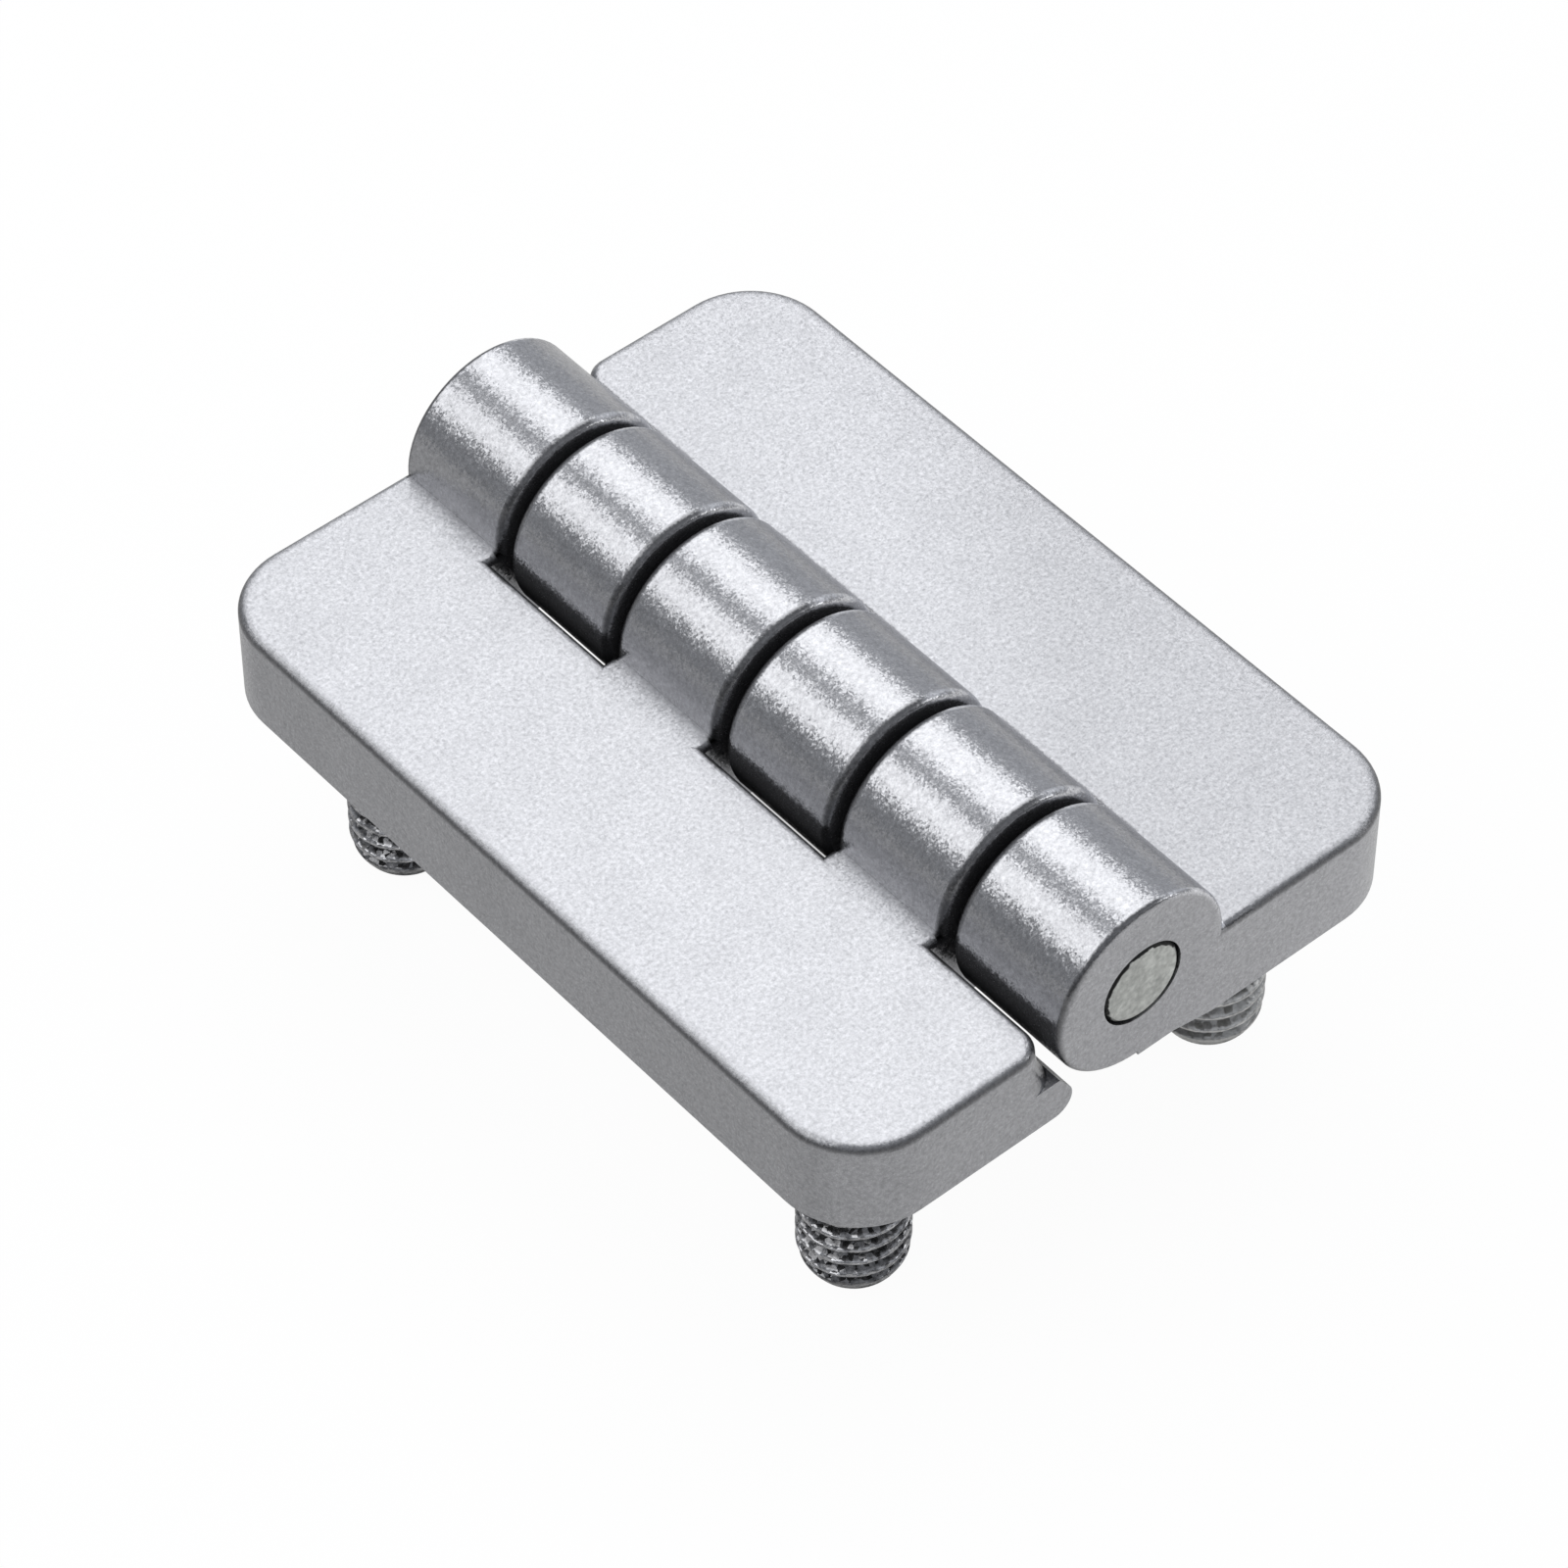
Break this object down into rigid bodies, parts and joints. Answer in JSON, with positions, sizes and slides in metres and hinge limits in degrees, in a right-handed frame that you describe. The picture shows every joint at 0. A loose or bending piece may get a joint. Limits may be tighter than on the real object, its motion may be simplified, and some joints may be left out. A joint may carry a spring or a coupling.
{
  "type": "cabinet hinge",
  "caption": "Open cast butt hinge for an electrical cabinet door: interleaved knuckles on a steel pin, with threaded studs standing out of the back of each leaf.",
  "frame": {"origin": "middle of the four studs on the mounting plane, straight under the pin", "axes": "+X from the left leaf to the right leaf, +Y along the pin away from its flush end, +Z out of the leaves' faces, away from the studs"},
  "size_m": [0.038, 0.051, 0.0241],
  "materials": {
    "leaf_casting": "matt silver",
    "pin_steel": "sawn end, unpolished",
    "stud_steel": "rolled thread, bright"
  },
  "bodies": {
    "fixed_leaf": {"right_leaf": "leaf_casting", "hinge_pin": "pin_steel", "right_stud_front": "stud_steel", "right_stud_rear": "stud_steel"},
    "moving_leaf": {"left_leaf": "leaf_casting", "left_stud_front": "stud_steel", "left_stud_rear": "stud_steel"}
  },
  "joints": [
    {"name": "leaf_swing", "type": "hinge", "parent": "fixed_leaf", "child": "moving_leaf", "pos_m": [0, 0, 0.006], "axis": [0, 1, 0], "range_deg": [-55, 179]}
  ]
}
